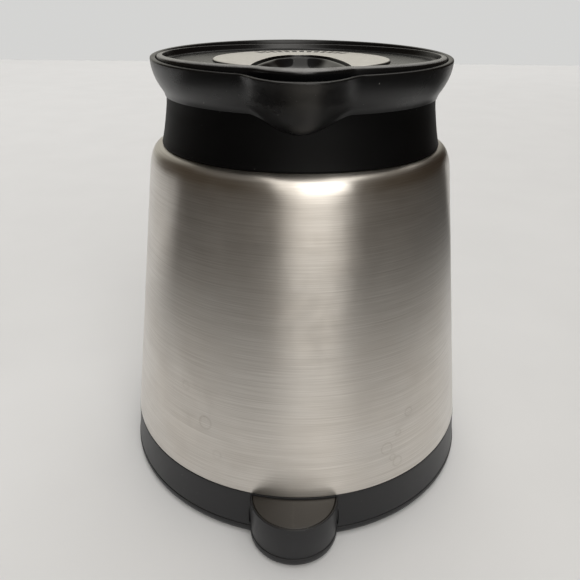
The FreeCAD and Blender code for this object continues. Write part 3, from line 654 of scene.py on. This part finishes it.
def build_pour_ring():
    side_out = smooth_run([(46.95, 142.5), (47.45, 143.9), (49.0, 146.5), (50.25, 149.5), (50.88, 152.4),
                           (51.0, 154.45)], 5)
    front_out = smooth_run([(47.35, 137.2), (48.7, 139.0), (51.6, 143.2), (55.4, 147.7), (59.3, 151.8),
                            (61.75, 154.45)], 5)
    rim_heights = (154.7, 154.86, 154.92, 154.92, 154.84, 154.65)
    side_rim = list(zip((50.94, 50.75, 50.5, 49.6, 49.35, 49.2), rim_heights))
    front_rim = list(zip((61.7, 61.5, 61.25, 60.4, 60.15, 60.0), rim_heights))
    side_in = smooth_run([(49.12, 153.6), (48.9, 151.5), (48.3, 149.0), (47.2, 146.7), (45.9, 144.7)], 3)
    front_in = smooth_run([(59.3, 153.6), (57.0, 151.2), (53.0, 148.2), (49.0, 146.2), (46.2, 144.8)], 3)
    seat = [(45.3, 144.1), (42.4, 144.1), (42.4, 143.1), (44.45, 143.1), (44.45, 138.1), (45.4, 138.1),
            (45.4, 142.42), (46.52, 142.42)]
    front_seat = seat[:-1] + [(47.15, 137.05)]
    side = side_out + side_rim + side_in + seat
    front = front_out + front_rim + front_in + front_seat
    halves, shapes = [], []
    for i in range(len(side)):
        # 0 at the foot of the lip and on the neck band, 1 at the rim and inside
        up = min(i / (len(side_out) - 1), 1.0)
        if i >= len(side) - 2:
            up = 0.0
        halves.append(LIP_LOW_HALF + (LIP_RIM_HALF - LIP_LOW_HALF) * up)
        shapes.append((2.0 + 0.5 * up, 2.0))
    tilt, tilt_from, tilt_to = 0.028, 146.0, 155.0
    loops = lipped_loops(side, front, halves, shapes, tilt, tilt_from, tilt_to)
    return loop_loft("pour_ring_body", loops, 40)


# ---- handle ------------------------------------------------------------------------------------------
HANDLE_LINE = ((44.0, 140.6), (58.0, 141.0), (74.0, 142.0), (90.0, 139.5), (101.0, 129.0), (105.5, 112.0),
               (106.0, 90.0), (104.0, 64.0), (99.5, 42.0), (92.0, 25.0), (80.0, 16.6), (64.0, 14.9))
GRIP_LINE = ((95.0, 135.9),) + HANDLE_LINE[4:9] + ((93.6, 27.6),)
HAND_SPACE = (60.0, 80.0)
HANDLE_SECTION = (22.0, 13.0, 4.6)
GROOVE_SECTION = (15.3, 3.3, 1.3)
INLAY_SECTION = (14.9, 2.9, 1.2)
INLAY_SHIFT = 5.6


def section_points(width, depth, corner):
    """Rounded rectangle as (across, out) pairs."""
    steps = 7
    out = []
    for sx, sy, start in ((1, 1, 0), (-1, 1, 90), (-1, -1, 180), (1, -1, 270)):
        for k in range(steps + 1):
            a = math.radians(start + 90 * k / steps)
            out.append((sx * (width / 2 - corner) + corner * math.cos(a),
                        sy * (depth / 2 - corner) + corner * math.sin(a)))
    return out


def sweep(name, line, section, shift=0.0):
    """Closed solid with the section carried along a (y, z) line, shift further out from the hand's space."""
    loops = []
    for i, (y, z) in enumerate(line):
        y0, z0 = line[max(i - 1, 0)]
        y1, z1 = line[min(i + 1, len(line) - 1)]
        length = math.hypot(y1 - y0, z1 - z0)
        ny, nz = (z1 - z0) / length, -(y1 - y0) / length
        if ny * (y - HAND_SPACE[0]) + nz * (z - HAND_SPACE[1]) < 0:
            ny, nz = -ny, -nz
        loops.append([(across, y + ny * (out + shift), z + nz * (out + shift)) for across, out in section])
    return loop_loft(name, loops, 40, close=False)


def body_room():
    """Cutter with the outside of the base, steel, neck and collar, and a little clearance."""
    outline = [(0.0, 4.0), (69.45, 4.0), (68.9, 9.0), (68.4, 14.0), (68.05, 18.2), (54.51, 117.0),
               (53.9, 121.5), (52.4, 125.1), (49.5, 126.7), (48.85, 129.0), (48.15, 132.0), (47.45, 136.0),
               (46.95, 139.5), (46.9, 142.2), (47.75, 143.6), (49.3, 146.2), (50.5, 149.3), (51.2, 152.5),
               (51.2, 157.5), (0.0, 157.5)]
    return lathe("cutter", outline, 200)


def tongue_room(start, end, low):
    """Cutter for a tongue's slot: open below and towards the body, with clearance elsewhere."""
    wider, longer, above, reach = 1.015, 0.1, 0.05, 8.0
    outline = [(x * wider, y + longer if y > start else y - reach) for x, y in tongue_outline(start, end)]
    loops = [[(x, y, z) for x, y in outline] for z in (low - reach, low + TONGUE_THICK + above)]
    return loop_loft("cutter", loops, close=False)


def build_handle():
    handle = sweep("handle_body", smooth_run(HANDLE_LINE, 8), section_points(*HANDLE_SECTION))
    handle = combine(handle, body_room(), "DIFFERENCE")
    for tongue in (TOP_TONGUE, LOW_TONGUE):
        handle = combine(handle, tongue_room(*tongue), "DIFFERENCE")
    groove = sweep("cutter", smooth_run(GRIP_LINE, 10), section_points(*GROOVE_SECTION), INLAY_SHIFT)
    return combine(handle, groove, "DIFFERENCE", 40)


def build_grip():
    return sweep("handle_inlay", smooth_run(GRIP_LINE, 10), section_points(*INLAY_SECTION), INLAY_SHIFT)


# ---- lid ---------------------------------------------------------------------------------------------
BUTTON_OUTLINE = ((0.0, 11.0), (3.6, 10.4), (6.6, 7.9), (9.2, 3.9), (11.2, -1.8), (12.9, -8.6),
                  (14.2, -15.4), (15.0, -22.0), (15.0, -28.5), (13.2, -33.0), (9.2, -35.2), (4.6, -35.9),
                  (0.0, -36.0))
BUTTON_MIDDLE = -8.0
BUTTON_TOP_Z = 152.9
TRAY_Z = 149.2
BUTTON_LOW_Z = 141.5
LID_LIP_HALF = math.radians(18.0)
LID_LIP_SHAPE = (2.2, 1.9)
LID_SKIRT_Z = 145.3
LID_DECK_Z = 152.85
DISC_BED = (30.47, 152.62)
DISC_R = 30.33
DISC_LOW_Z = 152.64
DISC_TOP_Z = 153.64
SPRING_LOW_Z = 130.02
SPRING_TOP_Z = 147.4


def button_loop(grow, z, scale=1.0):
    """Loop round the button's outline, its points at the same angles as the other lid loops."""
    half = smooth_run(BUTTON_OUTLINE, 12)
    full = half + [(-x, y) for x, y in reversed(half[1:-1])]
    known = sorted((math.atan2(x, BUTTON_MIDDLE - y), math.hypot(x, y - BUTTON_MIDDLE)) for x, y in full)
    known = [(a - TURN, r) for a, r in known[-3:]] + known + [(a + TURN, r) for a, r in known[:3]]
    loop = []
    k = 0
    for a in front_angles():
        while known[k + 1][0] < a:
            k += 1
        (a0, r0), (a1, r1) = known[k], known[k + 1]
        r = r0 + (r1 - r0) * (a - a0) / (a1 - a0)
        r = (r + grow) * scale
        loop.append((r * math.sin(a), BUTTON_MIDDLE - r * math.cos(a), z))
    return loop


def button_prism(*levels):
    """Solid with the button's outline, from (margin, height) pairs."""
    return loop_loft("cutter", [button_loop(grow, z) for grow, z in levels], close=False)


def build_lid_shell():
    bed_r, bed_z = DISC_BED
    deck = [(38.0, LID_DECK_Z), (bed_r, LID_DECK_Z), (bed_r, bed_z), (0.5, bed_z), (0.5, 151.0)]
    side_skirt = smooth_run([(45.4, LID_SKIRT_Z), (46.8, 146.8), (48.1, 149.5), (48.75, 152.4),
                             (48.87, 154.2)], 4)
    side_rim = [(48.84, 154.5), (48.74, 154.74), (48.58, 154.91), (48.35, 155.0), (47.25, 155.22),
                (47.06, 155.21), (46.89, 155.1), (46.8, 154.85), (46.75, 153.6), (46.6, 153.2),
                (46.35, 152.95), (45.9, LID_DECK_Z)]
    front_skirt = smooth_run([(46.6, LID_SKIRT_Z), (49.3, 146.8), (52.9, 149.5), (55.3, 152.4),
                              (56.3, 154.2)], 4)
    front_rim = [(56.29, 154.5), (56.22, 154.68), (56.08, 154.84), (55.8, 154.98), (54.85, 155.42),
                 (54.6, 155.44), (54.33, 155.3), (54.2, 154.95), (54.0, 153.6), (53.8, 153.2),
                 (53.5, 152.95), (53.0, LID_DECK_Z)]
    under_side = [(44.0, 151.0), (46.2, 149.6), (45.2, 147.2), (43.8, LID_SKIRT_Z)]
    under_front = [(46.0, 151.0), (50.6, 149.6), (47.4, 147.2), (45.2, LID_SKIRT_Z)]
    rim_tilt, tilt_from, tilt_to = -0.0085, 153.2, 155.4
    loops = []
    for side, front, tilt in ((side_skirt + side_rim + deck, front_skirt + front_rim + deck, rim_tilt),
                              (under_side, under_front, 0.0)):
        halves = [LID_LIP_HALF] * len(side)
        shapes = [LID_LIP_SHAPE] * len(side)
        loops += lipped_loops(side, front, halves, shapes, tilt, tilt_from, tilt_to)
    sharp = 34
    shaft_wall, shaft_gap = 1.7, 0.1
    shell = loop_loft("lid_body", loops, sharp)
    shell = combine(shell, button_prism((shaft_wall, 145.6), (shaft_wall, 151.5)), "UNION", sharp)
    shell = combine(shell, button_prism((shaft_gap, 140.0), (shaft_gap, 160.0)), "DIFFERENCE", sharp)
    pouring_gap = cutter_box(-8.0, 8.0, -64.0, -39.5, 147.0, 150.7)
    return combine(shell, pouring_gap, "DIFFERENCE", sharp)


def build_plate():
    """Bright disc with a rounded edge. The button's opening runs out through its front edge."""
    disc = lathe("bright_disc", [(0.0, DISC_LOW_Z), (DISC_R, DISC_LOW_Z), (DISC_R, 153.2), (30.28, 153.36),
                                 (30.16, 153.5), (29.98, 153.6), (29.7, DISC_TOP_Z), (0.0, DISC_TOP_Z)])
    gap = 0.35
    opening = button_prism((gap, 150.0), (gap, 153.6), (gap + 0.04, 153.66), (0.9, 155.0))
    return combine(disc, opening, "DIFFERENCE", 40)


def build_ticks():
    """Short printed dashes in an arc at the back of the disc."""
    dashes, apart, half_width = 13, 6.4, 1.9
    inner, outer = 22.8, 27.8
    low, high = 153.60, 153.665
    steps = 5
    verts, faces = [], []
    for k in range(dashes):
        middle = 90 + (k - dashes // 2) * apart
        base = len(verts)
        for z in (low, high):
            for r in (inner, outer):
                for j in range(steps):
                    x, y = polar(r, middle + half_width * (2 * j / (steps - 1) - 1))
                    verts.append((x, y, z))
        for j in range(steps - 1):
            lo_in, lo_out = base + j, base + steps + j
            hi_in, hi_out = base + 2 * steps + j, base + 3 * steps + j
            faces += [(lo_in, lo_in + 1, lo_out + 1, lo_out), (hi_in, hi_out, hi_out + 1, hi_in + 1),
                      (lo_in, hi_in, hi_in + 1, lo_in + 1), (lo_out, lo_out + 1, hi_out + 1, hi_out)]
        for j in (0, steps - 1):
            faces.append((base + j, base + steps + j, base + 3 * steps + j, base + 2 * steps + j))
    return mesh_object("disc_marks", verts, faces)


def build_button():
    """Push pad with a sunk tray: rounded rim, curved walls and a slightly dished floor."""
    inset, shallow, floor_inset, thick = -1.5, 0.05, -5.2, 1.4
    centre = 0.0001
    loops = [button_loop(inset, BUTTON_LOW_Z), button_loop(0.0, BUTTON_LOW_Z)]
    for grow, drop in ((0.0, 0.5), (-0.06, 0.24), (-0.22, 0.07), (-0.45, 0.0), (-0.85, 0.0), (-1.15, 0.06),
                       (-1.42, 0.24), (-1.66, 0.55), (-1.95, 1.0), (-2.35, 1.6), (-2.85, 2.25),
                       (-3.45, 2.85), (-4.2, 3.3), (floor_inset, 3.6)):
        loops.append(button_loop(grow, BUTTON_TOP_Z - drop))
    for share in (0.85, 0.6, 0.35, 0.1):
        loops.append(button_loop(floor_inset, TRAY_Z + shallow * (1 - share), 0.2 + 0.7 * share))
    loops.append(button_loop(floor_inset, TRAY_Z + shallow, centre))
    loops.append(button_loop(floor_inset, TRAY_Z - thick, centre))
    loops.append(button_loop(inset, TRAY_Z - thick))
    return loop_loft("push_button", loops, 46)


def build_spring():
    """Round wire coil between the stopper's floor and the button's underside."""
    turns, wire_r, coil_r = 6, 0.55, 6.0
    low, high = SPRING_LOW_Z + wire_r, SPRING_TOP_Z - wire_r
    per_turn, around = 36, 12
    total = turns * per_turn
    loops = []
    for i in range(total + 1):
        a = TURN * i / per_turn
        z = low + (high - low) * i / total
        loop = []
        for k in range(around):
            bend = TURN * k / around
            r = coil_r + wire_r * math.cos(bend)
            loop.append((r * math.cos(a), r * math.sin(a), z + wire_r * math.sin(bend)))
        loops.append(loop)
    return loop_loft("return_spring", loops, 60, close=False)


# ---- assembly ----------------------------------------------------------------------------------------


def finish_with(obj, material):
    obj.data.materials.clear()
    obj.data.materials.append(material)


def place(obj, body, slot_name, material, *nodes):
    """A modelled piece on its body, in the place of the CAD nodes that it stands for."""
    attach(obj, body)
    finish_with(obj, material)
    if nodes:
        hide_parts(*nodes)
    return obj


def dress(node, material):
    """Finish for a CAD node that stays as it is."""
    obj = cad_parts[node]
    finish_with(obj, material)
    shade(obj, 30)


STEEL = steel_material()
BASE = moulded("base_satin", (0.008, 0.008, 0.009), 0.44, 0.22, 0.004, dust=0.25, specular=0.38)
CAP = moulded("lug_cap_satin", (0.022, 0.019, 0.016), 0.32, 0.35, 0.004)
COLLAR = moulded("collar_satin", (0.0035, 0.0035, 0.0037), 0.29, 0.25, 0.0006, dust=0.5, specular=0.33)
NECK = moulded("neck_matte", (0.0016, 0.0016, 0.0017), 0.50, 0.30, 0.005, dust=0.5, specular=0.10)
# The lid's rim top is painted paler in front: a painted highlight.
LID = moulded("lid_satin", (0.004, 0.004, 0.0044), 0.27, 0.20, 0.0008, dust=0.3, specular=0.40,
              painted_rim_highlight=(154.75, 154.95, 0.17))
HANDLE = moulded("handle_satin", (0.006, 0.006, 0.0063), 0.42, 0.30, 0.008, dust=0.3, specular=0.40)
GRIP = moulded("grip_soft", (0.022, 0.022, 0.023), 0.72, 0.5, 0.02, dust=0.2, specular=0.3)
STOPPER = moulded("stopper_matte", (0.022, 0.022, 0.023), 0.5, 0.35, 0.008)
VALVE = moulded("valve_matte", (0.035, 0.035, 0.036), 0.45, 0.35, 0.008)
RUBBER = moulded("pad_rubber", (0.020, 0.020, 0.020), 0.8, 0.5, 0.03, specular=0.25)
BUTTON = polished_black()
# The disc's upright walls, round its edge and its opening, are darkened as painted shade.
PLATE = metal_material("disc_satin", (0.80, 0.78, 0.75), 0.36, 0.25, 0.05, spin=True, painted_wall_shade=0.04)
LINER = metal_material("liner_drawn", (0.66, 0.65, 0.63), 0.26, 0.8, 0.07, spin=True)
SCREW = metal_material("screw_plated", (0.55, 0.55, 0.56), 0.30, 0.4)
COPPER = metal_material("foil_dull", (0.72, 0.45, 0.30), 0.35, 1.5)
BRAZE = metal_material("braze_bead", (0.62, 0.50, 0.34), 0.45, 0.6)
SINTER = metal_material("getter_sinter", (0.28, 0.28, 0.29), 0.7, 0.2)
FERRITE = moulded("magnet_ferrite", (0.05, 0.05, 0.052), 0.6, 0.2, 0.01)
SPRING = metal_material("spring_wire", (0.50, 0.50, 0.51), 0.25, 0.3)
SEAL = silicone("seal_silicone", (0.62, 0.61, 0.57))
INK = moulded("mark_ink", (0.015, 0.015, 0.016), 0.6, 0.2, 0.004)

place(build_shell(), "jug", "steel_body", STEEL, "outer_shell")
place(build_liner(), "jug", "steel_inner", LINER, "inner_liner")
place(build_base_ring(), "jug", "base_plastic", BASE, "base_ring")
place(build_lug_cap(), "jug", "cap_plastic", CAP, "lug_cap")
place(build_foot(), "jug", "base_plastic", BASE, "foot_cover")
place(build_foot_ring(), "jug", "pad_rubber", RUBBER, "foot_ring")
place(build_neck(), "jug", "collar_plastic", NECK, "neck_band")
place(build_pour_ring(), "jug", "collar_plastic", COLLAR, "pour_ring")
place(build_handle(), "jug", "handle_plastic", HANDLE, "handle_frame")
place(build_grip(), "jug", "grip_soft", GRIP, "handle_grip")
place(build_lid_shell(), "lid", "lid_plastic", LID, "lid_shell")
place(build_plate(), "lid", "lid_metal", PLATE, "lid_plate")
place(build_ticks(), "lid", "lid_plastic", INK)
place(build_button(), "button", "button_plastic", BUTTON, "button_cap")
spring = place(build_spring(), "lid", "spring_steel", SPRING, "valve_spring")
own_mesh(spring)

for name, material in (
        ("radiation_foil", COPPER), ("shell_bottom", LINER), ("vacuum_seal", BRAZE), ("getter", SINTER),
        ("lug_magnet", FERRITE), ("base_screws", SCREW), ("mouth_gasket", SEAL), ("handle_screws", SCREW),
        ("stopper_body", STOPPER), ("stopper_gasket", SEAL), ("lid_screws", SCREW), ("valve_stem", VALVE),
        ("valve_disc", VALVE), ("valve_seal", SEAL), ("stem_screw", SCREW)):
    dress(name, material)

# ---- stage -------------------------------------------------------------------------------------------
FLOOR_HALF_M = 1.6
FLOOR_SQUARES = 40
ROOM_LEFT = rgb(0.062, 0.047, 0.032)
ROOM_RIGHT = rgb(0.026, 0.017, 0.011)
ROOM_WALL = rgb(0.56, 0.545, 0.49)
ROOM_TOP = rgb(0.22, 0.21, 0.195)
ROOM_WINDOW = rgb(1.75, 1.68, 1.58)
ROOM_LAMP = rgb(1.8, 1.75, 1.66)
BACKDROP = rgb(0.66, 0.66, 0.65)
CAMERA_MM = (-3.2193, -216.536, 172.641)
CAMERA_PITCH = 26.5975
CAMERA_ROLL = 0.4954
CAMERA_ROUND = 1.05
CAMERA_LENS = 36.46
CAMERA_SENSOR = 36.0


def floor_material():
    """Pale cloth. Away from the jug it goes dark for its reflections, except behind it and to the left."""
    s = Shader("pale_cloth")
    seen = s.add("ShaderNodeLightPath").outputs["Is Camera Ray"]
    x, y, _ = s.parts(s.coords)
    near = s.span(s.length(s.coords), 0.12, 0.42, 1.0, 0.05, smooth=True)
    behind = s.math("SUBTRACT", y, s.math("MULTIPLY", s.math("MAXIMUM", x, 0.0), 0.9))
    near = s.math("MAXIMUM", near, s.span(behind, 0.0, 0.15, 0.0, 0.9, smooth=True))
    weave = s.noise(60.0, 2.0)
    cloth = s.mix(weave, rgb(0.74, 0.75, 0.77), rgb(0.80, 0.81, 0.83))
    reflected = s.mix(s.math("MAXIMUM", near, seen), grey(0.02), cloth)
    s.set("Base Color", s.mix(seen, reflected, s.mix(weave, rgb(0.625, 0.63, 0.64), rgb(0.665, 0.67, 0.68))))
    s.set("Emission Color", cloth)
    s.set("Emission Strength", s.math("MULTIPLY", seen, s.span(y, 0.1, 1.4, 0.0, 0.22)))
    s.set("Roughness", 0.9)
    s.set("Normal", s.bump(s.noise(0.9, 2.0), 0.03, 0.4))
    return s.material


def build_floor():
    half = FLOOR_HALF_M / MM
    n = FLOOR_SQUARES
    verts, faces = [], []
    for j in range(n + 1):
        for i in range(n + 1):
            verts.append(((2 * i / n - 1) * half, (2 * j / n - 1) * half, 0.0))
    for j in range(n):
        for i in range(n):
            a = j * (n + 1) + i
            faces.append((a, a + 1, a + n + 2, a + n + 1))
    floor = mesh_object("floor", verts, faces)
    floor.data.materials.append(floor_material())


def build_world():
    """Studio round the jug, for its reflections: a window in front, a lamp above and a pale wall behind."""
    world = bpy.data.worlds.new("studio")
    world.use_nodes = True
    bpy.context.scene.world = world
    w = Nodes(world.node_tree, "Generated")
    back = w.add("ShaderNodeBackground")
    w.link(back.outputs[0], w.add("ShaderNodeOutputWorld").inputs[0])
    x, y, z = w.parts(w.coords)
    # degrees from the viewer's side, positive to the right
    azimuth = w.math("MULTIPLY", w.math("ARCTAN2", x, w.math("MULTIPLY", y, -1.0)), 180 / math.pi)
    window = w.product(w.rise(azimuth, -18, 3), w.fall(azimuth, 18, 40), w.rise(z, -0.12, 0.05),
                       w.fall(z, 0.35, 0.75))
    lamp = w.product(w.rise(x, -0.34, -0.20), w.fall(x, 0.42, 0.54), w.rise(z, 0.30, 0.45),
                     w.fall(y, 0.60, 0.80))
    wall = w.math("MAXIMUM", w.fall(azimuth, -152, -120), w.rise(azimuth, 150, 170))
    room = w.mix(w.rise(azimuth, 60, 150), ROOM_LEFT, ROOM_RIGHT)
    room = w.mix(wall, room, ROOM_WALL)
    room = w.mix(w.rise(z, 0.45, 0.95), room, ROOM_TOP)
    room = w.mix(window, room, ROOM_WINDOW)
    room = w.mix(lamp, room, ROOM_LAMP)
    seen = w.add("ShaderNodeLightPath").outputs["Is Camera Ray"]
    w.put(back, 0, w.mix(seen, room, BACKDROP))
    w.put(back, 1, 1.0)


def area_light(name, place_m, aim_m, side_m, power, colour=(1, 1, 1)):
    """Square area lamp, aimed at a point."""
    light = bpy.data.lights.new(name, "AREA")
    light.shape = "RECTANGLE"
    light.size = light.size_y = side_m
    light.energy = power
    light.color = colour
    obj = bpy.data.objects.new(name, light)
    bpy.context.scene.collection.objects.link(obj)
    obj.location = place_m
    obj.rotation_euler = (Vector(aim_m) - Vector(place_m)).to_track_quat("-Z", "Y").to_euler()
    return obj


def build_lights():
    area_light("key", (0.35, -0.95, 0.75), (0.0, 0.0, 0.10), 0.7, 3.0, (1.0, 0.98, 0.95))
    for name, place_m, power in (("top", (0.0, 0.25, 1.2), 1.5), ("left", (-1.1, 0.35, 0.6), 2.5)):
        area_light(name, place_m, (0.0, 0.0, 0.03), 1.1, power).visible_glossy = False


def build_camera():
    camera = bpy.data.cameras.new("camera")
    camera.sensor_width = CAMERA_SENSOR
    camera.lens = CAMERA_LENS
    camera.clip_start = 0.005
    obj = bpy.data.objects.new("camera", camera)
    bpy.context.scene.collection.objects.link(obj)
    aim = (Matrix.Rotation(math.pi / 2 - math.radians(CAMERA_PITCH), 4, "X")
           @ Matrix.Rotation(math.radians(CAMERA_ROLL), 4, "Z"))
    place_at = Matrix.Translation(Vector(CAMERA_MM) * MM)
    obj.matrix_world = Matrix.Rotation(math.radians(CAMERA_ROUND), 4, "Z") @ place_at @ aim
    bpy.context.scene.camera = obj
    bpy.context.scene.view_settings.view_transform = "Standard"


build_floor()
build_world()
build_lights()
build_camera()
